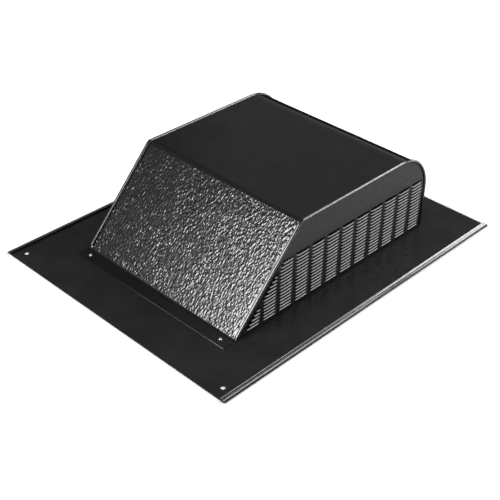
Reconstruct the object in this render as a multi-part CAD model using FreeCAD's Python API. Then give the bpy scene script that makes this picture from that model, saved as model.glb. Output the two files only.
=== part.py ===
import FreeCAD, Part
import math
import os

# Slant-back static roof vent of painted sheet metal.
# Origin: the throat's axis on the underside of the base flashing.
# +X points across the roof, +Y down the slope and +Z up, away from the roof deck.

# Driving dimensions, in millimetres and degrees

# Base flashing: a flat sheet with a folded hem along each side and an upturned throat collar
sheet = 0.6
base_width = 375.0
base_length = 470.0
hem_width = 6.0
hem_height = 3.2
hem_tip_gap = 0.4
throat_diameter = 203.0
collar_height = 25.0
collar_bend_radius = 4.0
nail_hole_diameter = 5.5
nail_hole_side_inset = 18.0
nail_hole_end_inset = 15.0

# Hood: one bent sheet, from its upslope flange over the slant and the top to its front foot
hood_width = 250.0
hood_height = 111.0
slant_foot_y = -158.0
slant_head_y = -57.0
front_y = 174.0
upslope_flange_depth = 19.0
front_foot_depth = 14.0
foot_bend_radius = 1.6
slant_head_radius = 6.0
front_roll_radius = 53.0
front_foot_notch_height = 2.6

# Seam bead: the side panel's rim, curled over the edge of the hood sheet
bead_diameter = 4.0
bead_start_height = 4.0
seam_clearance = 0.15
seam_overlap = 0.7
edge_clearance = 0.4

# Side panels: rows and columns of louvre slots, and a foot turned in under the hood
slat_pitch = 4.4
slot_height = 2.0
lowest_slot_height = 8.7
slat_length = 23.0
rib_width = 3.2
plain_band_height = 39.2
louvre_front_margin = 5.0
louvre_slant_margin = 7.0
shortest_slat = 4.0
side_foot_depth = 12.0

# Rivets: domed heads outside, shanks cut level with the underside of the base
rivet_head_diameter = 5.0
rivet_head_height = 1.2
rivet_shank_diameter = 3.2
rivet_hole_clearance = 0.1
upslope_rivet_side_inset = 13.0
front_rivet_side_inset = 45.0
side_rivet_end_inset = 65.0

# How far a cutting tool runs past the sheet on each side
cut_overrun = 1.0

# Sizes that follow from the driving dimensions

base_half_width = base_width / 2.0
base_half_length = base_length / 2.0
bead_radius = bead_diameter / 2.0
bead_line_radius = bead_radius - sheet / 2.0
panel_plane_x = hood_width / 2.0
flange_top = 2.0 * sheet
panel_bottom = sheet + foot_bend_radius
column_pitch = slat_length + rib_width
slant_run = slant_head_y - slant_foot_y
slant_rise = hood_height - flange_top
slant_length = math.hypot(slant_run, slant_rise)
side_foot_start_y = slant_foot_y + (panel_bottom - flange_top) * slant_run / slant_rise
side_foot_start_y += bead_diameter * slant_length / slant_rise
side_foot_end_y = front_y - front_foot_depth - edge_clearance
roll_centre_y = front_y - front_roll_radius
roll_centre_height = hood_height - front_roll_radius
slat_rows = int((hood_height - plain_band_height - slot_height / 2.0 - lowest_slot_height) / slat_pitch) + 1


def point(y, z, x=0.0):
    return FreeCAD.Vector(x, y, z)


# Bent sheets, drawn in the plane across the slope

def shifted_corners(corners, offset):
    """Corners of the line that runs beside the given one, offset to its right."""
    shifted = []
    last = len(corners) - 1
    for index, (y, z) in enumerate(corners):
        before = direction(corners[max(index - 1, 0)], corners[max(index, 1)])
        after = direction(corners[min(index, last - 1)], corners[min(index + 1, last)])
        across = (before[1] + after[1], -before[0] - after[0])
        scale = 2.0 * offset / (across[0] ** 2 + across[1] ** 2)
        shifted.append((y + across[0] * scale, z + across[1] * scale))
    return shifted


def direction(start, end):
    length = math.hypot(end[0] - start[0], end[1] - start[1])
    return ((end[0] - start[0]) / length, (end[1] - start[1]) / length)


def bent_line(corners, radii, offset=0.0):
    """Edges of a line through the corners, with a round bend at each inner corner.

    The radii belong to the line itself; beside it, at the offset, the bends stay concentric.
    """
    beside = shifted_corners(corners, offset)
    edges = []
    start = beside[0]
    for index, radius in enumerate(radii, 1):
        into = direction(corners[index - 1], corners[index])
        out = direction(corners[index], corners[index + 1])
        turn = math.atan2(into[0] * out[1] - into[1] * out[0], into[0] * out[0] + into[1] * out[1])
        bend = radius + math.copysign(offset, turn)
        reach = bend * math.tan(abs(turn) / 2.0)
        corner = beside[index]
        first = (corner[0] - into[0] * reach, corner[1] - into[1] * reach)
        second = (corner[0] + out[0] * reach, corner[1] + out[1] * reach)
        across = direction((0.0, 0.0), (out[0] - into[0], out[1] - into[1]))
        sagitta = bend / math.cos(turn / 2.0) - bend
        middle = (corner[0] + across[0] * sagitta, corner[1] + across[1] * sagitta)
        edges.append(Part.LineSegment(point(*start), point(*first)).toShape())
        edges.append(Part.Arc(point(*first), point(*middle), point(*second)).toShape())
        start = second
    edges.append(Part.LineSegment(point(*start), point(*beside[-1])).toShape())
    return edges


def ends_of(edges):
    return edges[0].Vertexes[0].Point, edges[-1].Vertexes[-1].Point


def sheet_section(corners, radii):
    """Closed outline of a sheet whose outer face follows the corners."""
    outer = bent_line(corners, radii)
    inner = bent_line(corners, radii, sheet)
    outer_start, outer_end = ends_of(outer)
    inner_start, inner_end = ends_of(inner)
    caps = [Part.LineSegment(outer_start, inner_start).toShape(),
            Part.LineSegment(outer_end, inner_end).toShape()]
    return Part.Wire(Part.__sortEdges__(outer + inner + caps))


def spread_across(wire, half_width):
    """Solid of the outline, as wide as the hood sheet on both sides of the middle."""
    face = Part.Face(wire)
    face.translate(FreeCAD.Vector(-half_width, 0.0, 0.0))
    return face.extrude(FreeCAD.Vector(2.0 * half_width, 0.0, 0.0))


def block(low, high):
    size = [high[axis] - low[axis] for axis in range(3)]
    return Part.makeBox(size[0], size[1], size[2], FreeCAD.Vector(*low))


def upright(radius, low, high, x, y):
    return Part.makeCylinder(radius, high - low, FreeCAD.Vector(x, y, low))


def slant_point(height):
    """Place along Y of the slanted panel's outer face at a height above the roof deck."""
    return slant_foot_y + (height - flange_top) * slant_run / slant_rise


# Base flashing

def hem_outline(side):
    """Edges of one hem in the plane across the base, from the underside round to the top."""
    outer = hem_height / 2.0
    inner = outer - sheet
    centre_x = base_half_width - outer
    tip_x = base_half_width - hem_width
    tip_z = sheet + hem_tip_gap
    reach = math.hypot(centre_x - tip_x, outer - tip_z)
    lean = math.atan2(outer - tip_z, centre_x - tip_x) + math.asin(inner / reach)

    def at(x, z):
        return FreeCAD.Vector(side * x, -base_half_length, z)

    def round_at(radius, angle):
        return at(centre_x + radius * math.cos(angle), outer + radius * math.sin(angle))

    top = math.pi / 2.0 + lean - 2.0 * math.atan2(outer - tip_z, centre_x - tip_x)
    along = (-math.cos(top - math.pi / 2.0), -math.sin(top - math.pi / 2.0))
    leg = math.sqrt(reach ** 2 - inner ** 2)
    middle = (top - math.pi / 2.0) / 2.0
    inner_top = round_at(inner, top)
    outer_top = round_at(outer, top)
    shift = FreeCAD.Vector(side * along[0] * leg, 0.0, along[1] * leg)
    return [Part.Arc(at(centre_x, 0.0), round_at(outer, middle), outer_top).toShape(),
            Part.LineSegment(outer_top, outer_top + shift).toShape(),
            Part.LineSegment(outer_top + shift, inner_top + shift).toShape(),
            Part.LineSegment(inner_top + shift, inner_top).toShape(),
            Part.Arc(inner_top, round_at(inner, middle), at(centre_x, sheet)).toShape()]


def hemmed_sheet():
    """Flat sheet, its two long edges folded back over themselves."""
    right = hem_outline(1.0)
    left = hem_outline(-1.0)
    flats = []
    for height in (0.0, sheet):
        flat_x = base_half_width - hem_height / 2.0
        flats.append(Part.LineSegment(FreeCAD.Vector(-flat_x, -base_half_length, height),
                                      FreeCAD.Vector(flat_x, -base_half_length, height)).toShape())
    outline = Part.Wire(Part.__sortEdges__(right + left + flats))
    return Part.Face(outline).extrude(FreeCAD.Vector(0.0, base_length, 0.0))


def collar():
    """Throat rim, turned up out of the sheet through a round bend."""
    inside = throat_diameter / 2.0
    outside = inside + sheet
    bend_x = outside + collar_bend_radius
    bend_z = sheet + collar_bend_radius
    under_radius = collar_bend_radius + sheet
    diagonal = math.sqrt(0.5)

    def at(x, z):
        return FreeCAD.Vector(x, 0.0, z)

    under_middle = at(bend_x - under_radius * diagonal, bend_z - under_radius * diagonal)
    upper_middle = at(bend_x - collar_bend_radius * diagonal, bend_z - collar_bend_radius * diagonal)
    edges = [Part.Arc(at(bend_x, 0.0), under_middle, at(inside, bend_z)).toShape(),
             Part.LineSegment(at(inside, bend_z), at(inside, collar_height)).toShape(),
             Part.LineSegment(at(inside, collar_height), at(outside, collar_height)).toShape(),
             Part.LineSegment(at(outside, collar_height), at(outside, bend_z)).toShape(),
             Part.Arc(at(outside, bend_z), upper_middle, at(bend_x, sheet)).toShape(),
             Part.LineSegment(at(bend_x, sheet), at(bend_x, 0.0)).toShape()]
    profile = Part.Face(Part.Wire(edges))
    return profile.revolve(FreeCAD.Vector(0.0, 0.0, 0.0), FreeCAD.Vector(0.0, 0.0, 1.0), 360.0)


def nail_holes():
    x = base_half_width - nail_hole_side_inset
    y = nail_hole_end_inset - base_half_length
    radius = nail_hole_diameter / 2.0
    return [upright(radius, -cut_overrun, sheet + cut_overrun, side * x, y) for side in (-1.0, 1.0)]


def rivet_holes(places, top):
    radius = rivet_shank_diameter / 2.0 + rivet_hole_clearance
    return [upright(radius, -cut_overrun, top + cut_overrun, x, y) for x, y in places]


def base_flashing():
    throat_radius = throat_diameter / 2.0 + sheet + collar_bend_radius
    throat = upright(throat_radius, -cut_overrun, sheet + cut_overrun, 0.0, 0.0)
    places = upslope_rivet_places() + front_rivet_places() + side_rivet_places(-1.0) + side_rivet_places(1.0)
    blank = hemmed_sheet().cut([throat] + nail_holes() + rivet_holes(places, sheet))
    return blank.fuse(collar()).removeSplitter()


# Hood sheet

def hood_corners():
    """Corners of the hood sheet's outer face, from the flange to the turned-in front foot."""
    return [(slant_foot_y - upslope_flange_depth, flange_top),
            (slant_foot_y, flange_top),
            (slant_head_y, hood_height),
            (front_y, hood_height),
            (front_y, sheet),
            (front_y - front_foot_depth, sheet)]


def hood_radii():
    return [foot_bend_radius, slant_head_radius, front_roll_radius, foot_bend_radius]


def hood_sheet():
    edge_x = panel_plane_x + seam_overlap
    foot_x = panel_plane_x - sheet / 2.0 - edge_clearance
    body = spread_across(sheet_section(hood_corners(), hood_radii()), edge_x)
    notches = []
    for low, high in ((-edge_x - cut_overrun, -foot_x), (foot_x, edge_x + cut_overrun)):
        notches.append(block((low, front_y - front_foot_depth - cut_overrun, 0.0),
                             (high, front_y + cut_overrun, front_foot_notch_height)))
    places = upslope_rivet_places() + front_rivet_places()
    return body.cut(notches + rivet_holes(places, flange_top))


# Side panels

def rim_corners(start_height, end_height):
    """Corners of the hood's outer face between the foot of the slant and the foot of the front."""
    return [(slant_point(start_height), start_height),
            (slant_head_y, hood_height),
            (front_y, hood_height),
            (front_y, end_height)]


def rim_line(start_height, end_height, depth):
    """The same line, set in by a depth below the hood's outer face."""
    return bent_line(rim_corners(start_height, end_height), [slant_head_radius, front_roll_radius], depth)


def curl_outline(origin, outward, normal):
    """Closed outline of the open curl, seen along the rim at its starting point."""
    centre = origin
    inner = bead_radius - sheet
    first = -math.pi / 2.0 - math.asin(sheet / bead_radius)
    last = math.pi - math.asin((sheet / 2.0 + seam_clearance) / inner)
    middle = (first + last) / 2.0

    def at(radius, angle):
        return centre + outward * (radius * math.cos(angle)) + normal * (radius * math.sin(angle))

    return Part.Wire([
        Part.Arc(at(bead_radius, first), at(bead_radius, middle), at(bead_radius, last)).toShape(),
        Part.LineSegment(at(bead_radius, last), at(inner, last)).toShape(),
        Part.Arc(at(inner, last), at(inner, middle), at(inner, first)).toShape(),
        Part.LineSegment(at(inner, first), at(bead_radius, first)).toShape()])


def seam_bead():
    """Curled rim that grips the edge of the hood sheet along the slant, top, roll and front."""
    path = Part.Wire(rim_line(bead_start_height, front_foot_notch_height, sheet / 2.0))
    path.translate(FreeCAD.Vector(panel_plane_x, 0.0, 0.0))
    origin = path.Vertexes[0].Point
    normal = FreeCAD.Vector(0.0, -slant_rise / slant_length, slant_run / slant_length)
    outline = curl_outline(origin, FreeCAD.Vector(1.0, 0.0, 0.0), normal)
    return path.makePipeShell([outline], True, True)


def panel_wire():
    """Outline of the flat part of the side panel."""
    rim = rim_line(panel_bottom, panel_bottom, sheet / 2.0 + bead_line_radius)
    start, end = ends_of(rim)
    low_start = point(slant_start_below(start), panel_bottom)
    low_end = point(end.y, panel_bottom)
    edges = [Part.LineSegment(low_start, start).toShape()] if low_start.sub(start).Length > 1e-6 else []
    edges += rim
    if low_end.sub(end).Length > 1e-6:
        edges.append(Part.LineSegment(end, low_end).toShape())
    edges.append(Part.LineSegment(low_end, low_start).toShape())
    return Part.Wire(Part.__sortEdges__(edges))


def slant_start_below(start):
    """Place where the line through the rim's first point along the slant meets the panel's bottom."""
    return start.y + (panel_bottom - start.z) * slant_run / slant_rise


def field_start(height):
    """Where a louvre row may start, clear of the slant."""
    return slant_point(height) + louvre_slant_margin * slant_length / slant_rise


def field_end(height):
    """Where a louvre row may end, clear of the front wall and of the roll above it."""
    reach = front_roll_radius - louvre_front_margin
    above = max(height + slot_height / 2.0 - roll_centre_height, 0.0)
    return roll_centre_y + math.sqrt(max(reach ** 2 - above ** 2, 0.0))


def slot_spans():
    """Start, end and middle height of every louvre slot, row by row from the front column back."""
    spans = []
    for row in range(slat_rows):
        height = lowest_slot_height + row * slat_pitch
        first_place = field_start(height)
        last_place = field_end(height)
        column_end = front_y - louvre_front_margin
        while column_end > first_place:
            start = max(column_end - slat_length, first_place)
            end = min(column_end, last_place)
            if end - start >= shortest_slat:
                spans.append((start, end, height))
            column_end -= column_pitch
    return spans


def slot_wire(start, end, height):
    low = height - slot_height / 2.0
    high = height + slot_height / 2.0
    return Part.makePolygon([point(start, low), point(end, low), point(end, high),
                             point(start, high), point(start, low)])


def side_foot():
    """Bottom edge of the side panel, turned in and resting on the base."""
    inner = foot_bend_radius - sheet
    outer_x = panel_plane_x + sheet / 2.0
    tip_x = outer_x - side_foot_depth
    centre_x = outer_x - foot_bend_radius
    diagonal = math.sqrt(0.5)

    def at(x, z):
        return FreeCAD.Vector(x, side_foot_start_y, z)

    outer_middle = at(centre_x + foot_bend_radius * diagonal, panel_bottom - foot_bend_radius * diagonal)
    inner_middle = at(centre_x + inner * diagonal, panel_bottom - inner * diagonal)
    edges = [Part.Arc(at(outer_x, panel_bottom), outer_middle, at(centre_x, sheet)).toShape(),
             Part.LineSegment(at(centre_x, sheet), at(tip_x, sheet)).toShape(),
             Part.LineSegment(at(tip_x, sheet), at(tip_x, flange_top)).toShape(),
             Part.LineSegment(at(tip_x, flange_top), at(centre_x, flange_top)).toShape(),
             Part.Arc(at(centre_x, flange_top), inner_middle, at(outer_x - sheet, panel_bottom)).toShape(),
             Part.LineSegment(at(outer_x - sheet, panel_bottom), at(outer_x, panel_bottom)).toShape()]
    return Part.Face(Part.Wire(edges)).extrude(FreeCAD.Vector(0.0, side_foot_end_y - side_foot_start_y, 0.0))


def side_panel():
    """Right-hand side panel with its louvre slots, curled rim and foot."""
    wires = [panel_wire()] + [slot_wire(*span) for span in slot_spans()]
    face = Part.makeFace(Part.Compound(wires), "Part::FaceMakerBullseye")
    face.translate(FreeCAD.Vector(panel_plane_x - sheet / 2.0, 0.0, 0.0))
    plate = face.extrude(FreeCAD.Vector(sheet, 0.0, 0.0))
    foot = side_foot().cut(rivet_holes(side_rivet_places(1.0), flange_top))
    return plate.fuse([seam_bead(), foot]).removeSplitter()


def mirrored(shape):
    return shape.mirror(FreeCAD.Vector(0.0, 0.0, 0.0), FreeCAD.Vector(1.0, 0.0, 0.0))


# Rivets

def upslope_rivet_places():
    x = panel_plane_x - upslope_rivet_side_inset
    return [(side * x, slant_foot_y - upslope_flange_depth / 2.0) for side in (-1.0, 1.0)]


def front_rivet_places():
    x = panel_plane_x - front_rivet_side_inset
    return [(side * x, front_y - front_foot_depth / 2.0) for side in (-1.0, 1.0)]


def side_rivet_places(side):
    x = side * (panel_plane_x - side_foot_depth / 2.0)
    return [(x, side_foot_start_y + side_rivet_end_inset), (x, side_foot_end_y - side_rivet_end_inset)]


def rivet(x, y):
    """Domed head seated on the upper sheet, with its shank through both sheets."""
    radius = rivet_head_diameter / 2.0
    dome_radius = (radius ** 2 + rivet_head_height ** 2) / (2.0 * rivet_head_height)
    centre_z = flange_top + rivet_head_height - dome_radius
    dome = Part.makeSphere(dome_radius, FreeCAD.Vector(x, y, centre_z))
    head = dome.common(upright(dome_radius, flange_top, flange_top + rivet_head_height + cut_overrun, x, y))
    shank = upright(rivet_shank_diameter / 2.0, 0.0, flange_top, x, y)
    return head.fuse(shank).removeSplitter()


def rivet_row(places):
    solids = []
    for x, y in places:
        solids += rivet(x, y).Solids
    return Part.Compound(solids)


# Named pieces

def pieces():
    right_panel = side_panel()
    return {
        "base_flashing": base_flashing(),
        "hood_sheet": hood_sheet(),
        "right_side_panel": right_panel,
        "left_side_panel": mirrored(right_panel),
        "upslope_rivets": rivet_row(upslope_rivet_places()),
        "front_rivets": rivet_row(front_rivet_places()),
        "right_side_rivets": rivet_row(side_rivet_places(1.0)),
        "left_side_rivets": rivet_row(side_rivet_places(-1.0)),
    }


def write_pieces():
    os.makedirs("parts", exist_ok=True)
    for name, shape in pieces().items():
        whole = shape.Solids[0] if len(shape.Solids) == 1 else Part.Compound(shape.Solids)
        print(name, "solids", len(shape.Solids), "valid", whole.isValid(), "volume", round(whole.Volume, 1))
        whole.exportStep("parts/" + name + ".step")


write_pieces()
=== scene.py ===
"""Slant-back static roof vent of black, stucco-embossed sheet metal."""

import math

import bmesh
import bpy
from mathutils import Matrix, Vector, noise
from mathutils.geometry import delaunay_2d_cdt

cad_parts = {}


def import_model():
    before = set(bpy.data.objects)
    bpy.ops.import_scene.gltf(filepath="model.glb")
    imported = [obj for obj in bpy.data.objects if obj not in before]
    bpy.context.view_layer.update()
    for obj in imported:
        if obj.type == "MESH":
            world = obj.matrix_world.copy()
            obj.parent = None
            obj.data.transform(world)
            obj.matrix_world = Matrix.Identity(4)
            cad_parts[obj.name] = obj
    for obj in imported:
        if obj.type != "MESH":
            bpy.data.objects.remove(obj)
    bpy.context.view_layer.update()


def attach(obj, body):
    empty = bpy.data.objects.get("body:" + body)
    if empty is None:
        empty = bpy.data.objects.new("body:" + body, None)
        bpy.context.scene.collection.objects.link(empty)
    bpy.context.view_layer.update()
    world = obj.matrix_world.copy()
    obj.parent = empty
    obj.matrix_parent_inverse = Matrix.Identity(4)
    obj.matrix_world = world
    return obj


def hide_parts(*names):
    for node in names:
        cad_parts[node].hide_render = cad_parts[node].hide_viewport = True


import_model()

MM = 0.001

# Sizes in millimetres, as in the part

SHEET = 0.6
BASE_WIDTH = 375.0
BASE_LENGTH = 470.0
THROAT_RADIUS = 101.5
COLLAR_HEIGHT = 25.0
COLLAR_BEND = 4.0
NAIL_HOLE_RADIUS = 2.75
NAIL_HOLE_X = BASE_WIDTH / 2 - 18.0
NAIL_HOLE_Y = 15.0 - BASE_LENGTH / 2

HOOD_WIDTH = 250.0
HOOD_HEIGHT = 111.0
SLANT_FOOT_Y = -158.0
SLANT_HEAD_Y = -57.0
FRONT_Y = 174.0
FLANGE_TOP = 2 * SHEET
FLANGE_DEPTH = 19.0
FLANGE_EDGE_Y = SLANT_FOOT_Y - FLANGE_DEPTH
FRONT_FOOT_DEPTH = 14.0
FOOT_BEND = 1.6
HEAD_RADIUS = 6.0
ROLL_RADIUS = 53.0
NOTCH_HEIGHT = 2.6
EDGE_CLEARANCE = 0.4
SEAM_OVERLAP = 0.7
SEAM_CLEARANCE = 0.15

BEAD_RADIUS = 2.0
BEAD_START = 4.0
BEAD_DEPTH = SHEET / 2
PANEL_X = HOOD_WIDTH / 2
PANEL_FACE = PANEL_X + SHEET / 2
PANEL_BOTTOM = SHEET + FOOT_BEND
SIDE_FOOT_DEPTH = 12.0

SLAT_ROWS = 15
SLAT_PITCH = 4.4
SLOT_HEIGHT = 2.0
LOWEST_SLOT = 8.7
SLAT_LENGTH = 23.0
RIB_WIDTH = 3.2
FRONT_MARGIN = 5.0
SLANT_MARGIN = 7.0
SHORTEST_SLAT = 4.0

SHANK_RADIUS = 1.6
RIVET_HOLE_RADIUS = 1.7

# Sizes that follow from them

SLANT_RUN = SLANT_HEAD_Y - SLANT_FOOT_Y
SLANT_RISE = HOOD_HEIGHT - FLANGE_TOP
SLANT_LENGTH = math.hypot(SLANT_RUN, SLANT_RISE)
ROLL_Y = FRONT_Y - ROLL_RADIUS
ROLL_Z = HOOD_HEIGHT - ROLL_RADIUS
FOOT_START_Y = (SLANT_FOOT_Y + (PANEL_BOTTOM - FLANGE_TOP) * SLANT_RUN / SLANT_RISE
                + 2 * BEAD_RADIUS * SLANT_LENGTH / SLANT_RISE)
FOOT_END_Y = FRONT_Y - FRONT_FOOT_DEPTH - EDGE_CLEARANCE

RIVET_ROWS = {
    "upslope": [(side * (PANEL_X - 13), SLANT_FOOT_Y - FLANGE_DEPTH / 2) for side in (-1, 1)],
    "front": [(side * (PANEL_X - 45), FRONT_Y - FRONT_FOOT_DEPTH / 2) for side in (-1, 1)],
    "right_side": [(PANEL_X - SIDE_FOOT_DEPTH / 2, y) for y in (FOOT_START_Y + 65, FOOT_END_Y - 65)],
    "left_side": [(SIDE_FOOT_DEPTH / 2 - PANEL_X, y) for y in (FOOT_START_Y + 65, FOOT_END_Y - 65)],
}

# Stucco: its depth, and the sizes of its ridges and grains across and up the slope

STUCCO = 0.3
RIDGE_SIZE = (1.25, 3.2)
GRAIN_SIZE = (1.1, 1.6)

# Depth of the dip beside each seam, and the distances from the edge of the hood sheet at which it begins
# and ends and at which the stucco begins

SEAM_DIP = 0.4
DIP_START, DIP_END = 2.2, 5.0
STUCCO_START = 3.6

# Unevenness of the other faces, and the width in which it fades in from their edges

HOOD_WAVE = 0.12
BASE_WAVE = 0.2
PANEL_WAVE = 0.05
WAVE_FADE = 20.0

# Bevel on the upslope edge of the flange

BEVEL_WIDTH = 0.4
BEVEL_HEIGHT = 0.46

# Slats: the lip's share of the height, how far its lower edge and the flat part above it stand out, how
# much more the flat part's top edge does, and the gap to the slots; then the slat below the lowest slot

SLAT_LIP = 0.44
SLAT_OUT_LOW = 1.21
SLAT_OUT_HIGH = 0.65
SLAT_LEAN = 0.12
SLAT_GAP = 0.05
LAST_SLAT_HEIGHT = 2.2
LAST_SLAT_OUT_LOW = 1.0
LAST_SLAT_OUT_HIGH = 0.45

# The bead's section along the slanted back: 0 is round and 1 nearly square, turned by an angle

BEAD_FLATNESS = 0.5
BEAD_TILT = math.radians(11)

# The hem's top runs from its free edge, the tip, down to the shoulder at the side of the base

HEM_ROOT_X = 178.0
HEM_TIP_X = 181.2
HEM_TIP_Z = 3.5
HEM_SHOULDER_X = 185.7
HEM_SHOULDER_Z = 2.2

# Unevenness of the tip, and the groove between tip and shoulder: its depth, and its middle and width as
# shares of the way between them

HEM_WAVE = 0.12
HEM_GROOVE = 0.32
GROOVE_MIDDLE = 0.47
GROOVE_WIDTH = 0.17

# Ripples in the side panels, for each radian round the centre of the front roll, and where they fade in

RIPPLES = 34
RIPPLE_BOTTOM = 78.0

# How far the plate of a side panel reaches in under its bead

BEAD_OVERLAP = 0.3


# Mesh helpers

def new_piece(name, verts, faces, smooth_angle=30.0):
    """A mesh object in metres from points in millimetres, with its faces turned outwards."""
    mesh = bpy.data.meshes.new(name)
    mesh.from_pydata([(x * MM, y * MM, z * MM) for x, y, z in verts], [], faces)
    mesh.validate()
    shape = bmesh.new()
    shape.from_mesh(mesh)
    bmesh.ops.recalc_face_normals(shape, faces=shape.faces)
    shape.to_mesh(mesh)
    shape.free()
    obj = bpy.data.objects.new(name, mesh)
    bpy.context.scene.collection.objects.link(obj)
    mesh.shade_smooth()
    mesh.set_sharp_from_angle(angle=math.radians(smooth_angle))
    return obj


class Builder:
    """Collects points and faces of one piece."""

    def __init__(self):
        self.verts = []
        self.faces = []
        self.shell_of = []
        self.shell = 0

    def next_shell(self):
        """Points added from here on aren't joined to the earlier ones."""
        self.shell += 1

    def add(self, verts, faces):
        """Points, and faces that count them from 0."""
        base = len(self.verts)
        self.verts.extend(verts)
        self.shell_of.extend([self.shell] * len(verts))
        self.faces.extend(tuple(base + i for i in face) for face in faces)

    def grid(self, rows, closed=False):
        """Quads between rows of points; closed joins the last column to the first."""
        n = len(rows[0])
        faces = []
        for r in range(len(rows) - 1):
            for c in range(n if closed else n - 1):
                a, b = r * n + c, r * n + (c + 1) % n
                faces.append((a, b, b + n, a + n))
        self.add([p for row in rows for p in row], faces)

    def tube(self, stations):
        """Closed sections joined along their length, with flat ends."""
        self.grid(stations, closed=True)
        for end in (stations[0], stations[-1]):
            self.add(list(end), [tuple(range(len(end)))])

    def stitch(self, first, second):
        """Triangles between two lines that run side by side, whatever their numbers of points."""
        n, m = len(first), len(second)
        along_first, along_second = shares(first), shares(second)
        i = j = 0
        faces = []
        while i < n - 1 or j < m - 1:
            if j == m - 1 or (i < n - 1 and along_first[i + 1] <= along_second[j + 1]):
                faces.append((i, i + 1, n + j))
                i += 1
            else:
                faces.append((i, n + j + 1, n + j))
                j += 1
        self.add(list(first) + list(second), faces)

    def lathe(self, profile, x, y, count):
        """Profile of (radius, height) turned about an upright axis; a radius of 0 closes it."""
        angles = [2 * math.pi * k / count for k in range(count)]
        self.grid([[(x + r * math.cos(a), y + r * math.sin(a), z) for a in angles] for r, z in profile],
                  closed=True)

    def mirrored(self):
        """The same piece on the other side of the part."""
        other = Builder()
        other.shell_of = list(self.shell_of)
        other.verts = [(-x, y, z) for x, y, z in self.verts]
        other.faces = [face[::-1] for face in self.faces]
        return other

    def piece(self, name, second_sheen=False, **kw):
        """One object; points of a shell that coincide are joined.

        If asked, every shell after the first has the second material; the side panels give their folds
        there a copy of their paint with more sheen, a painted highlight.
        """
        keys, remap, verts = {}, [], []
        for p, shell in zip(self.verts, self.shell_of):
            key = (shell, round(p[0], 3), round(p[1], 3), round(p[2], 3))
            if key not in keys:
                keys[key] = len(verts)
                verts.append(p)
            remap.append(keys[key])
        faces, later = [], []
        for face in self.faces:
            ring = [remap[i] for i in face]
            ring = [v for i, v in enumerate(ring) if v != ring[i - 1]]
            if len(ring) > 2:
                faces.append(ring)
                later.append(self.shell_of[face[0]] > 0)
        obj = new_piece(name, verts, faces, **kw)
        if second_sheen:
            obj.data.polygons.foreach_set("material_index", [int(other) for other in later])
        return obj


def shares(line):
    """Distance of each point along a line, as a share of its length."""
    total, along = 0.0, [0.0]
    for p, q in zip(line, line[1:]):
        total += math.dist(p, q)
        along.append(total)
    return [d / total for d in along]


def unit(a, b):
    """Direction from one point to another."""
    d = math.hypot(b[0] - a[0], b[1] - a[1])
    return (b[0] - a[0]) / d, (b[1] - a[1]) / d


def bent_path(corners, radii, steps, bend_step):
    """Points and unit tangents along a line with round bends, without doubled points.

    Each straight run has its own step.
    """
    points = []
    start = corners[0]
    for i, radius in enumerate(radii, 1):
        into, out = unit(corners[i - 1], corners[i]), unit(corners[i], corners[i + 1])
        turn = math.atan2(into[0] * out[1] - into[1] * out[0], into[0] * out[0] + into[1] * out[1])
        reach = radius * math.tan(abs(turn) / 2)
        first = (corners[i][0] - into[0] * reach, corners[i][1] - into[1] * reach)
        add_run(points, start, first, into, steps[i - 1])
        side = math.copysign(1.0, turn)
        centre = (first[0] - into[1] * radius * side, first[1] + into[0] * radius * side)
        count = max(3, round(abs(turn) * radius / bend_step))
        for k in range(1, count):
            a = turn * k / count
            ca, sa = math.cos(a), math.sin(a)
            dx, dz = first[0] - centre[0], first[1] - centre[1]
            tangent = (into[0] * ca - into[1] * sa, into[0] * sa + into[1] * ca)
            points.append(((centre[0] + dx * ca - dz * sa, centre[1] + dx * sa + dz * ca), tangent))
        start = (corners[i][0] + out[0] * reach, corners[i][1] + out[1] * reach)
    add_run(points, start, corners[-1], unit(corners[-2], corners[-1]), steps[-1])
    return [s for i, s in enumerate(points) if i == 0 or math.dist(s[0], points[i - 1][0]) > 1e-6]


def add_run(points, start, end, tangent, step):
    """Adds the points of a straight run, both ends included."""
    length = math.hypot(end[0] - start[0], end[1] - start[1])
    count = max(1, round(length / step))
    for k in range(count + 1):
        t = k / count
        points.append(((start[0] + (end[0] - start[0]) * t, start[1] + (end[1] - start[1]) * t), tangent))


def slant_y(z):
    """Where the slanted back is at a height."""
    return SLANT_FOOT_Y + (z - FLANGE_TOP) * SLANT_RUN / SLANT_RISE


def wave(x, y, z, size, seed):
    """Smooth noise between about -1 and 1, with waves of about the given size in millimetres."""
    return noise.noise(Vector((x / size + seed, y / size - seed, z / size + 2.7 * seed)))


def edge_fade(distance, width):
    """Rises smoothly from 0 at an edge to 1 at the given width inside it."""
    t = max(0.0, min(1.0, distance / width))
    return t * t * (3 - 2 * t)


def circle(x, y, radius, count):
    """Points of a circle."""
    angles = [2 * math.pi * k / count for k in range(count)]
    return [(x + radius * math.cos(a), y + radius * math.sin(a)) for a in angles]


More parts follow.
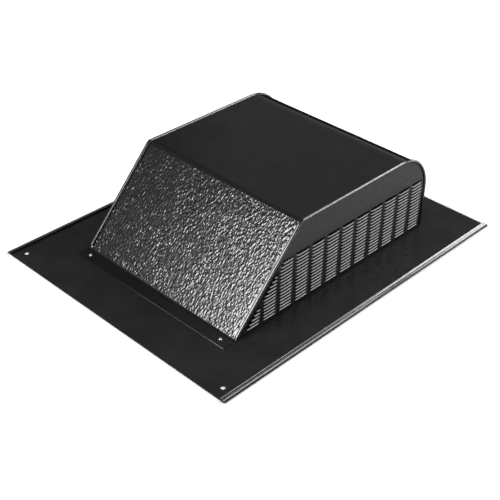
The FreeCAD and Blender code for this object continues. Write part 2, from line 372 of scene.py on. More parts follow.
def pierced(loops, spacing):
    """Points and triangles of the flat area inside the first loop and outside the others.

    Loose points on a grid of the given spacing let the area be bent afterwards.
    """
    points, edges = [], []
    for loop in loops:
        base = len(points)
        points.extend(Vector(p) for p in loop)
        edges.extend((base + i, base + (i + 1) % len(loop)) for i in range(len(loop)))
    sides = [(points[i], points[j]) for i, j in edges]
    low = [min(p[k] for p in loops[0]) for k in (0, 1)]
    high = [max(p[k] for p in loops[0]) for k in (0, 1)]
    counts = [int((high[k] - low[k]) / spacing) for k in (0, 1)]
    for i in range(1, counts[0] + 1):
        for j in range(1, counts[1] + 1):
            x = low[0] + i * spacing - 0.37 * spacing
            y = low[1] + j * spacing - 0.41 * spacing
            points.append(Vector((x, y)))
    out, _, tris, *_ = delaunay_2d_cdt(points, edges, [], 0, 1e-7)

    def inside(p):
        crossed = [a for a, b in sides
                   if (a.y > p.y) != (b.y > p.y) and p.x < a.x + (b.x - a.x) * (p.y - a.y) / (b.y - a.y)]
        return len(crossed) % 2 == 1

    kept = [t for t in tris if inside((out[t[0]] + out[t[1]] + out[t[2]]) / 3)]
    return [(p.x, p.y) for p in out], kept


# Base flashing

BASE_ROWS = 94
BASE_COLUMNS = 30
BASE_GRID = 9.0
THROAT_POINTS = 96


def base_lift(x, y):
    """How far the base sheet stands off the roof deck, in its slightly uneven flats."""
    beyond = max(abs(x) - PANEL_X, FLANGE_EDGE_Y - y, y - FRONT_Y) - 3
    free = edge_fade(beyond, WAVE_FADE) * edge_fade(HEM_ROOT_X - abs(x), 12)
    free *= edge_fade(BASE_LENGTH / 2 - abs(y), 14)
    return BASE_WAVE * free * (1 + wave(x, y, 0, 60, 1.7) + 0.5 * wave(x, y, 0, 26, 4.3))


def hem_section(y):
    """The folded hem in the plane across the base, from the underside of the sheet round to its top.

    Its free edge stands a little proud, and a shallow groove runs along its top, fainter towards the front.
    """
    uneven = HEM_WAVE * wave(y, 3.0, 0, 40, 2.2)
    groove = HEM_GROOVE * (1 + 0.3 * wave(y, 9.0, 0, 25, 1.1)) * (1 - 0.8 * edge_fade(y - 95, 90))
    outside = []
    steps = 14
    for k in range(steps + 1):
        q = k / steps
        x = HEM_TIP_X + (HEM_SHOULDER_X - HEM_TIP_X) * q
        z = HEM_TIP_Z + (HEM_SHOULDER_Z - HEM_TIP_Z) * q + uneven * (1 - q)
        outside.append((x, z - groove * math.exp(-((q - GROOVE_MIDDLE) / GROOVE_WIDTH) ** 2)))
    wide, high = BASE_WIDTH / 2 - HEM_SHOULDER_X, HEM_SHOULDER_Z / 2
    steps = 8
    for k in range(1, steps + 1):
        a = math.radians(90 - 180 * k / steps)
        outside.append((HEM_SHOULDER_X + wide * math.cos(a), high * (1 + math.sin(a))))
    outside.append((HEM_ROOT_X, 0.0))
    inside = []
    for i, (x, z) in enumerate(outside):
        ahead = unit(outside[max(i - 1, 0)], outside[min(i + 1, len(outside) - 1)])
        inside.append((x + ahead[1] * SHEET, z - ahead[0] * SHEET))
    nose = ((outside[0][0] + inside[0][0]) / 2 - SHEET / 3, (outside[0][1] + inside[0][1]) / 2)
    return outside[::-1] + [nose] + inside


def hem(b, stations, side):
    """One hem along the base, closed at both ends."""
    sections = [[(side * x, y, z) for x, z in hem_section(y)] for y in stations]
    b.grid(sections)
    for section in (sections[0], sections[-1]):
        b.add(section, [tuple(range(len(section)))])


def collar(b):
    """Throat rim, turned up out of the sheet through a round bend."""
    outer = THROAT_RADIUS + SHEET
    bend_x, bend_z = outer + COLLAR_BEND, SHEET + COLLAR_BEND
    quarter = [math.pi * (1.5 - k / 12) for k in range(7)]
    under = COLLAR_BEND + SHEET
    profile = [(bend_x + under * math.cos(a), bend_z + under * math.sin(a)) for a in quarter]
    shoulder = COLLAR_HEIGHT - 0.2
    profile += [(THROAT_RADIUS, shoulder), (THROAT_RADIUS + SHEET / 2, COLLAR_HEIGHT), (outer, shoulder)]
    profile += [(bend_x + COLLAR_BEND * math.cos(a), bend_z + COLLAR_BEND * math.sin(a))
                for a in quarter[::-1]]
    b.lathe(profile, 0.0, 0.0, THROAT_POINTS)


def base_sheet():
    """The base with its hems, holes and throat collar."""
    b = Builder()
    half = BASE_LENGTH / 2
    stations = [-half + BASE_LENGTH * k / BASE_ROWS for k in range(BASE_ROWS + 1)]
    across = [-HEM_ROOT_X + 2 * HEM_ROOT_X * k / BASE_COLUMNS for k in range(BASE_COLUMNS + 1)]
    outline = [(HEM_ROOT_X, y) for y in stations] + [(x, half) for x in across[-2:0:-1]]
    outline += [(-HEM_ROOT_X, y) for y in stations[::-1]] + [(x, -half) for x in across[1:-1]]
    throat = circle(0.0, 0.0, THROAT_RADIUS + SHEET + COLLAR_BEND, THROAT_POINTS)
    holes = [circle(side * NAIL_HOLE_X, NAIL_HOLE_Y, NAIL_HOLE_RADIUS, 28) for side in (-1, 1)]
    holes += [circle(x, y, RIVET_HOLE_RADIUS, 20) for row in RIVET_ROWS.values() for x, y in row]
    points, triangles = pierced([outline, throat] + holes, BASE_GRID)
    for face in (0.0, SHEET):
        b.add([(x, y, base_lift(x, y) + face) for x, y in points], triangles)
    for loop in holes:
        b.grid([[(x, y, base_lift(x, y) + face) for x, y in loop] for face in (0.0, SHEET)], closed=True)
    for y in (-half, half):
        b.grid([[(x, y, face) for x in across] for face in (0.0, SHEET)])
    for side in (-1, 1):
        hem(b, stations, side)
    collar(b)
    return b.piece("base_sheet")


# Hood sheet, with steps along its flange, slanted back, top, front wall and foot, and then in its bends

OUTER_STEPS = [4.0, 0.7, 5.0, 6.0, 4.0]
OUTER_BEND_STEP = 1.2
INNER_STEPS = [19.0, 30.0, 30.0, 30.0, 14.0]
INNER_BEND_STEP = 3.0
SLANT_COLUMNS = 360
PLAIN_COLUMNS = 60
INNER_COLUMNS = 12


def stucco(x, w):
    """Height of the embossed relief of the slanted back: ridges like worms that run up the slope.

    x is the place across and w the distance up the slope.
    """
    drift = 1.2 * noise.noise(Vector((x / 7, w / 7, 3.1)))
    ridges = noise.noise(Vector(((x + drift) / RIDGE_SIZE[0], w / RIDGE_SIZE[1], 7.7)))
    grains = noise.noise(Vector(((x + drift) / GRAIN_SIZE[0], w / GRAIN_SIZE[1], 1.9)))
    swell = noise.noise(Vector((x / 15, w / 15, 5.3)))
    return STUCCO * (ridges + 0.55 * grains) * (1.0 + 0.35 * swell + 0.12 * x / PANEL_X)


def hood_lift(x, y, z, half, slanted):
    """How far the outer face stands proud of its flat or round shape.

    The stucco stops short of the seams, and the sheet dips a little beside them.
    """
    inward = half - abs(x)
    if slanted:
        w = (z - FLANGE_TOP) * SLANT_LENGTH / SLANT_RISE
        free = edge_fade(w - 0.4, 1.6) * edge_fade(SLANT_LENGTH - w - 2, 2)
        dip = SEAM_DIP * edge_fade(inward - DIP_START, 0.6) * edge_fade(DIP_END - inward, 1.4)
        return free * (edge_fade(inward - STUCCO_START, 1.2) * stucco(x, w) - dip)
    if z < 6:
        return 0.0
    from_bend = math.dist((y, z), (SLANT_HEAD_Y, HOOD_HEIGHT))
    free = edge_fade(inward, WAVE_FADE) * edge_fade(z - 6, 15) * edge_fade(from_bend, WAVE_FADE)
    return -HOOD_WAVE * free * (1 + wave(x, y, z, 38, 1.3) + 0.5 * wave(x, y, z, 17, 5.1))


def hood_half_width(y, z):
    """Half the width of the hood sheet, which is notched where its front foot passes the side panels."""
    notched = y > FRONT_Y - FRONT_FOOT_DEPTH - 1 and z < NOTCH_HEIGHT
    return PANEL_X - SHEET / 2 - EDGE_CLEARANCE if notched else PANEL_X + SEAM_OVERLAP


def hood_rows(line, columns, slanted=False):
    """Rows of points across the hood, one for each (y, z, normal y, normal z) of a line."""
    rows = []
    for y, z, ny, nz in line:
        half = hood_half_width(y, z)
        row = []
        for k in range(columns + 1):
            x = -half + 2 * half * k / columns
            lift = hood_lift(x, y, z, half, slanted)
            row.append((x, y + ny * lift, z + nz * lift))
        rows.append(row)
    return rows


def hood_line(steps, bend_step, depth=0.0):
    """The hood's outer line, or the line at a depth below it, from the flange to the front foot."""
    corners = [(FLANGE_EDGE_Y + BEVEL_WIDTH, FLANGE_TOP), (SLANT_FOOT_Y, FLANGE_TOP),
               (SLANT_HEAD_Y, HOOD_HEIGHT), (FRONT_Y, HOOD_HEIGHT), (FRONT_Y, SHEET),
               (FRONT_Y - FRONT_FOOT_DEPTH, SHEET)]
    path = bent_path(corners, [FOOT_BEND, HEAD_RADIUS, ROLL_RADIUS, FOOT_BEND], steps, bend_step)
    return [(y + tz * depth, z - ty * depth, -tz, ty) for (y, z), (ty, tz) in path]


def hood():
    """The bent hood sheet, embossed on its slanted back and slightly uneven elsewhere."""
    outer = hood_line(OUTER_STEPS, OUTER_BEND_STEP)
    inner = hood_line(INNER_STEPS, INNER_BEND_STEP, SHEET)
    cut_edge = [(FLANGE_EDGE_Y, SHEET, -1.0, 0.0), (FLANGE_EDGE_Y, FLANGE_TOP - BEVEL_HEIGHT, -1.0, 0.0)]
    ny, nz = -SLANT_RISE / SLANT_LENGTH, SLANT_RUN / SLANT_LENGTH
    on_slant = [i for i, s in enumerate(outer) if abs(s[2] - ny) < 1e-6 and abs(s[3] - nz) < 1e-6]
    first, last = on_slant[0], on_slant[-1]
    parts = [
        hood_rows(cut_edge + outer[:first + 1], PLAIN_COLUMNS),
        hood_rows(outer[first:last + 1], SLANT_COLUMNS, slanted=True),
        hood_rows(outer[last:], PLAIN_COLUMNS),
        hood_rows(inner, INNER_COLUMNS),
    ]
    b = Builder()
    for rows in parts:
        b.grid(rows)
    flange, slant, crown, lining = parts
    b.stitch(flange[-1], slant[0])
    b.stitch(slant[-1], crown[0])
    b.stitch(flange[0], lining[0])
    b.stitch(crown[-1], lining[-1])
    for column in (0, -1):
        edge = [row[column] for rows in parts[:3] for row in rows]
        b.stitch(edge, [row[column] for row in lining])
    return b.piece("hood_shell")


# Side panels

PANEL_STEP = 4.0
PLATE_BEND_STEP = 1.5
BEAD_BEND_STEP = 1.0
SLAT_SECTIONS = 20
BEAD_POINTS = 22


def rim_path(depth, start_z, end_z, bend_step):
    """The hood's outer line in the plane of the side panel, set in by a depth."""
    corners = [(slant_y(start_z), start_z), (SLANT_HEAD_Y, HOOD_HEIGHT),
               (FRONT_Y, HOOD_HEIGHT), (FRONT_Y, end_z)]
    path = bent_path(corners, [HEAD_RADIUS, ROLL_RADIUS], [PANEL_STEP] * 3, bend_step)
    return [((y + tz * depth, z - ty * depth), (ty, tz)) for (y, z), (ty, tz) in path]


def field_end(z):
    """Where a louvre row may end, clear of the front wall and of the roll above it."""
    reach = ROLL_RADIUS - FRONT_MARGIN
    above = max(z + SLOT_HEIGHT / 2 - ROLL_Z, 0.0)
    return ROLL_Y + math.sqrt(max(reach ** 2 - above ** 2, 0.0))


def slots():
    """For each column, its slots from the bottom up as (start, end, middle height)."""
    inset = SLANT_MARGIN * SLANT_LENGTH / SLANT_RISE
    columns = []
    column_end = FRONT_Y - FRONT_MARGIN
    while column_end > SLANT_FOOT_Y:
        rows = []
        for r in range(SLAT_ROWS):
            z = LOWEST_SLOT + r * SLAT_PITCH
            start = max(column_end - SLAT_LENGTH, slant_y(z) + inset)
            end = min(column_end, field_end(z))
            if end - start >= SHORTEST_SLAT:
                rows.append((start, end, z))
        if rows:
            columns.append(rows)
        column_end -= SLAT_LENGTH + RIB_WIDTH
    return columns


def window(rows):
    """Outline of the opening that a column of slots leaves, with its slats taken out."""
    half = SLOT_HEIGHT / 2
    ends, starts = [], []
    for start, end, z in rows:
        ends += [(end, z - half), (end, z + half)]
        starts += [(start, z - half), (start, z + half)]
    loop = ends + starts[::-1]
    return [p for i, p in enumerate(loop) if math.dist(p, loop[i - 1]) > 1e-6]


def panel_face(y, z):
    """How far the outer face of the panel bulges, most of it in faint ripples below the front roll."""
    rim = HOOD_HEIGHT - z if y < ROLL_Y else ROLL_RADIUS - math.hypot(y - ROLL_Y, max(z - ROLL_Z, 0.0))
    free = edge_fade(rim - 3, 8) * edge_fade(z - RIPPLE_BOTTOM, 6)
    around = math.atan2(z - ROLL_Z, y - ROLL_Y)
    ripple = math.sin(RIPPLES * around) * edge_fade(y - ROLL_Y + 10, 30)
    return PANEL_WAVE * free * (1.5 * wave(0, y, z, 24, 3.3) + 0.5 * ripple)


def plate(b, columns):
    """Flat part of the side panel, with one window for each column of slats."""
    depth = BEAD_DEPTH + BEAD_RADIUS - BEAD_OVERLAP
    path = rim_path(depth, PANEL_BOTTOM, PANEL_BOTTOM, PLATE_BEND_STEP)
    loops = [[point for point, tangent in path]] + [window(rows) for rows in columns]
    points, triangles = pierced(loops, PANEL_STEP)
    for x in (PANEL_FACE, PANEL_FACE - SHEET):
        b.add([(x + panel_face(y, z), y, z) for y, z in points], triangles)
    for loop in loops:
        b.grid([[(x + panel_face(y, z), y, z) for y, z in loop] for x in (PANEL_FACE, PANEL_FACE - SHEET)],
               closed=True)


def bulge(u, squareness):
    """How far a slat stands out along its length, from 0 at its ends to 1."""
    return 1 - abs(2 * u - 1) ** squareness


def slat(b, start, end, low, high, out_low, out_high):
    """Slat pressed outwards between two slots: a lip that leans out below, and a flat part above."""
    share = min(1.0, (end - start) / SLAT_LENGTH)
    lean = out_low - out_high
    profile = [(0.0, lean), (SLAT_LIP / 2, lean / 2), (SLAT_LIP, 0.0), (1.0, SLAT_LEAN)]
    sections = []
    for i in range(SLAT_SECTIONS + 1):
        u = 0.5 - 0.5 * math.cos(math.pi * i / SLAT_SECTIONS)
        stand, tilt = bulge(u, 3.0) * share, bulge(u, 10.0)
        y = start + (end - start) * u
        front = [(PANEL_FACE + stand * out_high + tilt * out, y, low + (high - low) * v)
                 for v, out in profile]
        sections.append(front + [(x - SHEET, y, z) for x, y, z in front[::-1]])
    b.tube(sections)


def flattened(angle, power):
    """Radius of a rounded square of radius 1 along its axes; a power of 2 gives a circle."""
    return (abs(math.cos(angle)) ** power + abs(math.sin(angle)) ** power) ** (-1 / power)


def curl(b):
    """Rim of the panel, curled round the hood sheet's edge and pressed flatter along the slanted back."""
    inner = BEAD_RADIUS - SHEET
    first = -math.pi / 2 - math.asin(SHEET / BEAD_RADIUS)
    last = math.pi - math.asin((SHEET / 2 + SEAM_CLEARANCE) / inner)
    angles = [first + (last - first) * k / BEAD_POINTS for k in range(BEAD_POINTS + 1)]
    stations = []
    for (y, z), (ty, tz) in rim_path(BEAD_DEPTH, BEAD_START, NOTCH_HEIGHT, BEAD_BEND_STEP):
        ny, nz = -tz, ty
        flat = BEAD_FLATNESS * max(0.0, min(1.0, tz * SLANT_LENGTH / SLANT_RISE))
        ring = []
        for radius, order in ((BEAD_RADIUS, angles), (inner, angles[::-1])):
            for a in order:
                reach = radius * flattened(a + BEAD_TILT * flat, 2 + 2 * flat)
                off = reach * math.sin(a)
                ring.append((PANEL_X + reach * math.cos(a), y + ny * off, z + nz * off))
        stations.append(ring)
    b.tube(stations)


def side_foot(b):
    """Bottom edge of the panel, turned in over the base."""
    cx, cz = PANEL_FACE - FOOT_BEND, PANEL_BOTTOM
    angles = [math.pi / 2 * k / 8 for k in range(9)]
    outside = [(cx + FOOT_BEND * math.cos(a), cz - FOOT_BEND * math.sin(a)) for a in angles]
    r = FOOT_BEND - SHEET
    inside = [(cx + r * math.cos(a), cz - r * math.sin(a)) for a in angles]
    outside.append((PANEL_FACE - SIDE_FOOT_DEPTH, SHEET))
    inside.append((PANEL_FACE - SIDE_FOOT_DEPTH, FLANGE_TOP))
    b.tube([[(x, y, z) for x, z in outside + inside[::-1]] for y in (FOOT_START_Y, FOOT_END_Y)])


def side_panel():
    """The right panel: its plate first, and then its slats, bead and foot."""
    b = Builder()
    columns = slots()
    plate(b, columns)
    half = SLOT_HEIGHT / 2 + SLAT_GAP
    for rows in columns:
        for lower, upper in zip(rows, rows[1:]):
            b.next_shell()
            start, end = max(lower[0], upper[0]), min(lower[1], upper[1])
            slat(b, start, end, lower[2] + half, upper[2] - half, SLAT_OUT_LOW, SLAT_OUT_HIGH)
        b.next_shell()
        start, end, z = rows[0]
        low, high = z - half - LAST_SLAT_HEIGHT, z - half
        slat(b, start, end, low, high, LAST_SLAT_OUT_LOW, LAST_SLAT_OUT_HIGH)
    b.next_shell()
    curl(b)
    b.next_shell()
    side_foot(b)
    return b


# Rivets: radius and height above the flange, from the middle of the head to the shank, and round the ring

HEAD_PROFILE = [(0.0, 0.92), (0.42, 0.88), (0.55, 0.7), (0.72, 0.66), (0.84, 1.05), (1.0, 1.15),
                (1.25, 1.1), (1.55, 0.9), (1.85, 0.6), (2.05, 0.3), (2.1, 0.12), (2.05, 0.0),
                (SHANK_RADIUS, 0.0)]
RING_PROFILE = [(1.9, 0.02), (2.15, 0.26), (2.6, 0.32), (3.1, 0.18), (3.35, 0.01), (1.9, 0.02)]
RIVET_POINTS = 36


def rivet_heads(name, places):
    """Blind rivets: domed heads with the broken stem in the recess, and flush tails."""
    b = Builder()
    profile = [(r, FLANGE_TOP + h) for r, h in HEAD_PROFILE] + [(SHANK_RADIUS, 0.0), (0.0, 0.0)]
    for x, y in places:
        b.next_shell()
        b.lathe(profile, x, y, RIVET_POINTS)
    return b.piece(name, smooth_angle=40.0)


def sealant_rings():
    """A thin ring of black sealant that each rivet head has squeezed out."""
    b = Builder()
    profile = [(r, FLANGE_TOP + h) for r, h in RING_PROFILE]
    for row in RIVET_ROWS.values():
        for x, y in row:
            b.next_shell()
            b.lathe(profile, x, y, RIVET_POINTS)
    return b.piece("sealant_rings")


# Materials, with noise scales in waves per metre and the width in which burnishing and the hem's
# painted sheen set in, in millimetres

CLOUD_SCALE = 28.0
MOTTLE_SCALE = 240.0
METAL_SCALE = 900.0
BURNISH_AND_SHEEN_WIDTH = 3.0


def node_material(name):
    """A new material, its node tree and its shader."""
    material = bpy.data.materials.new(name)
    material.use_nodes = True
    tree = material.node_tree
    return material, tree, tree.nodes["Principled BSDF"]


def add_noise(tree, scale, detail):
    """Noise fixed to the object."""
    coords = tree.nodes.new("ShaderNodeTexCoord")
    texture = tree.nodes.new("ShaderNodeTexNoise")
    texture.inputs["Scale"].default_value = scale
    texture.inputs["Detail"].default_value = detail
    tree.links.new(coords.outputs["Object"], texture.inputs["Vector"])
    return texture.outputs["Fac"]


def add_range(tree, value, source, target, smooth=False):
    """Maps a value from the source range to the target range."""
    node = tree.nodes.new("ShaderNodeMapRange")
    if smooth:
        node.interpolation_type = "SMOOTHSTEP"
    node.inputs["From Min"].default_value, node.inputs["From Max"].default_value = source
    node.inputs["To Min"].default_value, node.inputs["To Max"].default_value = target
    tree.links.new(value, node.inputs["Value"])
    return node.outputs["Result"]


def add_ramp(tree, value, stops):
    """Colour ramp through greys, given as (position, grey)."""
    node = tree.nodes.new("ShaderNodeValToRGB")
    elements = node.color_ramp.elements
    while len(elements) < len(stops):
        elements.new(0.5)
    for element, (position, grey) in zip(elements, stops):
        element.position = position
        element.color = (grey, grey, grey * 1.03, 1)
    tree.links.new(value, node.inputs["Fac"])
    return node.outputs["Color"]


def add_math(tree, operation, first, second=None):
    """Math node on one socket or two."""
    node = tree.nodes.new("ShaderNodeMath")
    node.operation = operation
    tree.links.new(first, node.inputs[0])
    if second:
        tree.links.new(second, node.inputs[1])
    return node.outputs[0]


def add_axes(tree, vector):
    """The X, Y and Z of a vector."""
    parts = tree.nodes.new("ShaderNodeSeparateXYZ")
    tree.links.new(vector, parts.inputs["Vector"])
    return parts.outputs


def add_bump(tree, height, depth):
    """Normal of a relief of the given depth in millimetres."""
    node = tree.nodes.new("ShaderNodeBump")
    node.inputs["Distance"].default_value = depth * MM
    tree.links.new(height, node.inputs["Height"])
    return node.outputs["Normal"]


def burnish_and_sheen_factors(tree, start):
    """Factors for paint further out than the start of a fold.

    The first is for its roughness, smoother where the fold has pressed it. The others are painted light on
    its
    sheen: cut to a tenth on the outermost edge, a painted shade along the foot of the base, and cut to
    about a third on the flat inside the fold, so that the hem keeps a painted highlight brighter than the
    flat.
    """
    coords = tree.nodes.new("ShaderNodeTexCoord")
    outward = add_math(tree, "ABSOLUTE", add_axes(tree, coords.outputs["Object"])["X"])
    reach = (start * MM, (start + BURNISH_AND_SHEEN_WIDTH) * MM)
    # The hem's outermost edge, where its sheen is cut: a painted shade along the foot of the base.
    edge = ((HEM_SHOULDER_X - 0.4) * MM, (HEM_SHOULDER_X + 0.6) * MM)
    return (add_range(tree, outward, reach, (1.0, 0.5)),
            add_range(tree, outward, edge, (1.0, 0.1)),
            add_range(tree, outward, reach, (0.35, 1.0)))


def paint(name, tone, gloss, peel, crease_shade_reach=2.5, shine=0.5, peel_scale=700.0, burnish_and_sheen_from=None):
    """Semi-gloss black paint, with a faint orange peel of the given depth in millimetres.

    Its sheen is cut by ambient occlusion within the given reach: a painted shade in seams and creases.
    Paint further out than the start of a fold is smoother where the fold has pressed it, and its sheen is
    painted: full on the fold, a painted highlight, and faint on its outermost edge, a painted shade.
    """
    material, tree, shader = node_material(name)
    links = tree.links
    shader.inputs["IOR"].default_value = 1.5
    clouds = add_noise(tree, CLOUD_SCALE, 4.0)
    links.new(add_ramp(tree, clouds, [(0.3, 0.85 * tone), (0.7, 1.15 * tone)]), shader.inputs["Base Color"])
    rough = add_range(tree, clouds, (0.3, 0.7), (gloss - 0.02, gloss + 0.03))
    # Ambient occlusion cuts the sheen near seams and creases: a painted shade.
    crease_occlusion = tree.nodes.new("ShaderNodeAmbientOcclusion")
    crease_occlusion.samples = 6
    crease_occlusion.inputs["Distance"].default_value = crease_shade_reach * MM
    clear = add_range(tree, crease_occlusion.outputs["AO"], (0.45, 0.85), (0.0, 1.0), smooth=True)
    mottle = add_range(tree, add_noise(tree, MOTTLE_SCALE, 3.0), (0.3, 0.7), (0.8, 1.2))
    factors = [mottle, clear]
    # Past the start of a fold the roughness drops, and the sheen is painted: a painted shade on the hem's
    # outermost edge, and a painted highlight on the hem against a dimmer flat.
    if burnish_and_sheen_from:
        smoother, edge, satin = burnish_and_sheen_factors(tree, burnish_and_sheen_from)
        rough = add_math(tree, "MULTIPLY", rough, smoother)
        factors += [edge, satin]
    links.new(rough, shader.inputs["Roughness"])
    facing = tree.nodes.new("ShaderNodeLayerWeight")
    facing.inputs["Blend"].default_value = 0.5
    sheen = add_range(tree, facing.outputs["Facing"], (0.5, 0.72), (shine, 0.0), smooth=True)
    for factor in factors:
        sheen = add_math(tree, "MULTIPLY", sheen, factor)
    links.new(sheen, shader.inputs["Specular IOR Level"])
    grain = add_noise(tree, peel_scale, 2.0)
    links.new(add_bump(tree, grain, peel), shader.inputs["Normal"])
    return material


def rivet_metal():
    """Plain satin aluminium."""
    material, tree, shader = node_material("rivet_aluminium")
    shader.inputs["Metallic"].default_value = 1.0
    shader.inputs["Base Color"].default_value = (0.58, 0.58, 0.59, 1)
    fine = add_noise(tree, METAL_SCALE, 3.0)
    tree.links.new(add_range(tree, fine, (0.0, 1.0), (0.35, 0.55)), shader.inputs["Roughness"])
    return material


# Object

def dress(obj, material, node=None):
    """Gives a piece its material, and its place among the CAD nodes."""
    obj.data.materials.append(material)
    if node:
        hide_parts(node)
    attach(obj, "root")


stucco_paint = paint("black_stucco_paint", tone=0.0062, gloss=0.09, peel=0.002, peel_scale=900.0)
base_paint = paint("black_base_paint", tone=0.0114, gloss=0.26, peel=0.004, crease_shade_reach=4.0,
                   burnish_and_sheen_from=HEM_ROOT_X)
# A side panel is one sheet: the plate's copy of the paint has its sheen cut, a painted shade on its
# reflections, and the folds' copy keeps full sheen, a painted highlight on the slats, bead and foot.
dimmed_panel_paint = paint("black_panel_paint_dimmed", tone=0.007, gloss=0.14, peel=0.008, crease_shade_reach=8.0, shine=0.12)
brightened_fold_paint = paint("black_fold_paint_brightened", tone=0.007, gloss=0.13, peel=0.002)
metal = rivet_metal()

dress(base_sheet(), base_paint, "base_flashing")
dress(hood(), stucco_paint, "hood_sheet")
panel = side_panel()
for half_panel, name, node in ((panel, "right_louvred_panel", "right_side_panel"),
                               (panel.mirrored(), "left_louvred_panel", "left_side_panel")):
    sheet = half_panel.piece(name, second_sheen=True)
    dress(sheet, dimmed_panel_paint, node)
    sheet.data.materials.append(brightened_fold_paint)
for row, places in RIVET_ROWS.items():
    dress(rivet_heads(row + "_rivet_heads", places), metal, row + "_rivets")
dress(sealant_rings(), base_paint)


# Studio, in metres: the floor, with the width of the soft shadow painted round the base, its lift beside
# the object and its further lift in the distance

FLOOR_SIZE = 12.0
FLOOR_DROP = 0.0002
FLOOR_GREY = 0.62
PAINTED_SHADOW_WIDTH = 0.008
FLOOR_LIFT = 0.55
FAR_LIFT = 0.35
FAR_START, FAR_END = 0.6, 2.4

# Grey of the studio against the height of a direction, and strength against how far it points to the left

STUDIO_GREYS = [(0.0, 1.1), (0.12, 0.9), (0.3, 0.7), (0.5, 0.5), (0.68, 0.75), (1.0, 0.75)]
STUDIO_STRENGTHS = [(0.0, 0.36), (0.06, 0.1), (0.13, 0.11), (0.2, 0.3),
                    (0.42, 0.3), (0.5, 0.18), (0.68, 0.5)]
LEFTWARDS = (-0.5, -0.5, 0.0)
BACKDROP_FADE = (0.12, 0.25)

# The point that the softboxes face

AIM = Vector((0, 0, 0.04))

# The camera of the photo: its focal length in pixels, its place in millimetres and its axes

IMAGE_WIDTH = 500
FOCAL_LENGTH = 1054.23
SENSOR_WIDTH = 36.0
CAMERA_PLACE = Vector((748.88, -790.75, 731.37))
CAMERA_AXES = (Vector((0.71533, 0.69859, 0.0166)),
               Vector((-0.40539, 0.39552, 0.82415)),
               Vector((0.56918, -0.59627, 0.56613)))


def floor():
    """A square floor just under the base."""
    mesh = bpy.data.meshes.new("floor")
    half = FLOOR_SIZE / 2
    corners = [(x * half, y * half, -FLOOR_DROP) for x, y in ((-1, -1), (1, -1), (1, 1), (-1, 1))]
    mesh.from_pydata(corners, [], [(0, 1, 2, 3)])
    obj = bpy.data.objects.new("floor", mesh)
    bpy.context.scene.collection.objects.link(obj)
    mesh.materials.append(floor_material())


def is_seen(tree):
    """1 where the camera, a gloss or glass looks, and 0 for the light that falls on the object."""
    path = tree.nodes.new("ShaderNodeLightPath").outputs
    looked_at = add_math(tree, "MAXIMUM", path["Is Camera Ray"], path["Is Glossy Ray"])
    return add_math(tree, "MAXIMUM", looked_at, path["Is Transmission Ray"])


def floor_material():
    """White floor, lifted to white where seen, and less near the base: a painted soft shadow."""
    material, tree, shader = node_material("floor_white")
    shader.inputs["Base Color"].default_value = (FLOOR_GREY, FLOOR_GREY, FLOOR_GREY, 1)
    shader.inputs["Roughness"].default_value = 0.9
    shader.inputs["Specular IOR Level"].default_value = 0.0
    shader.inputs["Emission Color"].default_value = (1, 1, 1, 1)
    axes = add_axes(tree, tree.nodes.new("ShaderNodeTexCoord").outputs["Object"])
    # The lift is 0 on the base's outline and rises over the shadow width: a painted soft shadow round the
    # base, also seen in reflections.
    shadow_ramp, far = [], []
    for axis, size in (("X", BASE_WIDTH), ("Y", BASE_LENGTH)):
        outward = add_math(tree, "ABSOLUTE", axes[axis])
        edge = size / 2 * MM
        shadow_ramp.append(add_range(tree, outward, (edge, edge + PAINTED_SHADOW_WIDTH), (0.0, FLOOR_LIFT)))
        far.append(add_range(tree, outward, (FAR_START, FAR_END), (0.0, FAR_LIFT)))
    lift = add_math(tree, "ADD", add_math(tree, "MAXIMUM", *shadow_ramp), add_math(tree, "MAXIMUM", *far))
    lift = add_math(tree, "MULTIPLY", is_seen(tree), lift)
    tree.links.new(lift, shader.inputs["Emission Strength"])
    return material


def softbox(name, azimuth, elevation, distance, wide, high, radiance):
    """Area lamp facing the object.

    It lies in a direction from +X round to +Y and up, and covers the given angles, all in degrees.
    """
    a, e = math.radians(azimuth), math.radians(elevation)
    direction = Vector((math.cos(e) * math.cos(a), math.cos(e) * math.sin(a), math.sin(e)))
    light = bpy.data.lights.new(name, "AREA")
    light.shape = "RECTANGLE"
    light.size = 2 * distance * math.tan(math.radians(wide) * math.cos(e) / 2)
    light.size_y = 2 * distance * math.tan(math.radians(high) / 2)
    light.energy = radiance * math.pi * light.size * light.size_y
    obj = bpy.data.objects.new(name, light)
    bpy.context.scene.collection.objects.link(obj)
    obj.location = AIM + direction * distance
    obj.rotation_euler = (-direction).to_track_quat("-Z", "Y").to_euler()
    obj.visible_camera = False


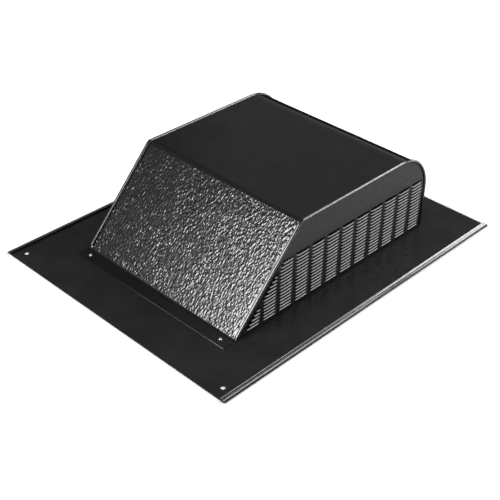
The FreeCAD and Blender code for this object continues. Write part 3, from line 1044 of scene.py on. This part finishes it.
def world():
    """Grey studio, dark on the far left, with a low white backdrop all round.

    The backdrop is seen but gives no light.
    """
    scene_world = bpy.data.worlds.new("studio")
    bpy.context.scene.world = scene_world
    scene_world.use_nodes = True
    tree = scene_world.node_tree
    studio = tree.nodes["Background"]
    direction = tree.nodes.new("ShaderNodeTexCoord").outputs["Generated"]
    height = add_axes(tree, direction)["Z"]
    tree.links.new(add_ramp(tree, height, STUDIO_GREYS), studio.inputs["Color"])
    across = tree.nodes.new("ShaderNodeVectorMath")
    across.operation = "DOT_PRODUCT"
    across.inputs[1].default_value = LEFTWARDS
    tree.links.new(direction, across.inputs[0])
    tree.links.new(add_ramp(tree, across.outputs["Value"], STUDIO_STRENGTHS), studio.inputs["Strength"])
    backdrop = tree.nodes.new("ShaderNodeBackground")
    backdrop.inputs["Color"].default_value = (1, 1, 1, 1)
    low = add_range(tree, height, BACKDROP_FADE, (1.0, 0.0))
    either = tree.nodes.new("ShaderNodeMixShader")
    tree.links.new(add_math(tree, "MULTIPLY", is_seen(tree), low), either.inputs[0])
    tree.links.new(studio.outputs[0], either.inputs[1])
    tree.links.new(backdrop.outputs[0], either.inputs[2])
    tree.links.new(either.outputs[0], tree.nodes["World Output"].inputs["Surface"])


def camera():
    """The camera, placed as in the photo."""
    data = bpy.data.cameras.new("camera")
    data.sensor_width = SENSOR_WIDTH
    data.lens = FOCAL_LENGTH / IMAGE_WIDTH * SENSOR_WIDTH
    data.clip_start, data.clip_end = 0.05, 50
    obj = bpy.data.objects.new("camera", data)
    bpy.context.scene.collection.objects.link(obj)
    place = Matrix(CAMERA_AXES).transposed().to_4x4()
    place.translation = CAMERA_PLACE * MM
    obj.matrix_world = place
    bpy.context.scene.camera = obj


floor()
world()
softbox("front_left_softbox", 259, 33, 1.7, 28, 21, 21.0)
softbox("front_left_edge", 241.5, 33, 1.7, 7, 21, 8.0)
softbox("front_left_rim", 234, 32, 1.7, 8, 22, 2.0)
softbox("left_fill", 228, 33, 1.7, 4, 24, 0.7)
softbox("far_left_fill", 220, 33, 1.7, 12, 24, 0.2)
softbox("right_low_softbox", 40, 7.5, 2.4, 100, 11, 7.0)
softbox("right_softbox", 46, 24, 2.4, 22, 9, 29.0)
softbox("right_high_fill", 46, 36, 2.4, 30, 12, 2.0)
softbox("back_softbox", 76, 41, 2.4, 38, 10, 15.0)
softbox("high_back_softbox", 95, 56, 2.4, 22, 18, 10.0)
camera()
bpy.context.scene.view_settings.view_transform = "Standard"
